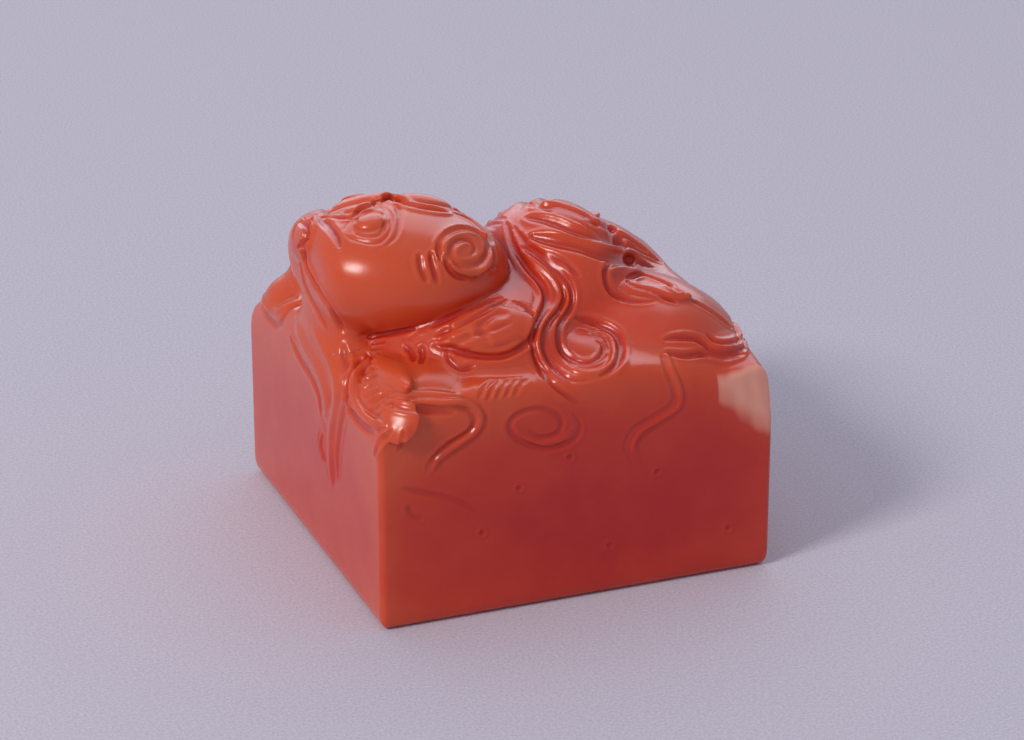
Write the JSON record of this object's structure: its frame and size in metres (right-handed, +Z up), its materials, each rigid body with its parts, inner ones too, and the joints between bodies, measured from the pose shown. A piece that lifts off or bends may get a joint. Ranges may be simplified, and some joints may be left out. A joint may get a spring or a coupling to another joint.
{
  "type": "seal stamp",
  "caption": "Square hand seal cut from translucent orange-red stone, with a crouching beast carved over its top and a fret-cut printing face underneath.",
  "frame": {"origin": "centre of the seal's underside, on the surface it stands on", "axes": "+Z up out of the printing face towards the carving; the beast's head looks towards -X; the wide side seen in the picture faces -Y"},
  "size_m": [0.0306, 0.0306, 0.0266],
  "materials": {
    "polished_stone": "translucent, polished",
    "carved_stone": "translucent, polished, with wheel-cut lines",
    "cut_face_stone": "cut and lightly ground"
  },
  "bodies": {
    "root": {"back_scroll": "polished_stone", "beard": "polished_stone", "beast_head": "carved_stone", "beast_shoulders": "carved_stone", "beast_torso": "carved_stone", "carved_bed": "polished_stone", "chin_tuft": "carved_stone", "far_back_lock": "carved_stone", "far_brow": "carved_stone", "far_ear": "carved_stone", "far_eye": "carved_stone", "far_flank_curl": "carved_stone", "far_forearm": "carved_stone", "far_foreleg": "carved_stone", "far_forepaw": "carved_stone", "far_haunch": "carved_stone", "far_hind_paw": "carved_stone", "far_shoulder_leaf": "carved_stone", "far_upper_arm": "carved_stone", "front_scroll": "polished_stone", "head_crest": "carved_stone", "mane_strands": "carved_stone", "muzzle": "carved_stone", "near_back_lock": "carved_stone", "near_brow": "carved_stone", "near_ear": "carved_stone", "near_eye": "carved_stone", "near_flank_curl": "carved_stone", "near_forearm": "carved_stone", "near_foreleg": "carved_stone", "near_forepaw": "carved_stone", "near_haunch": "carved_stone", "near_hind_paw": "carved_stone", "near_upper_arm": "carved_stone", "nose": "carved_stone", "right_scroll": "polished_stone", "seal_block": "polished_stone", "seal_face": "cut_face_stone", "shoulder_leaf": "carved_stone", "tail_strands": "carved_stone"}
  },
  "joints": []
}
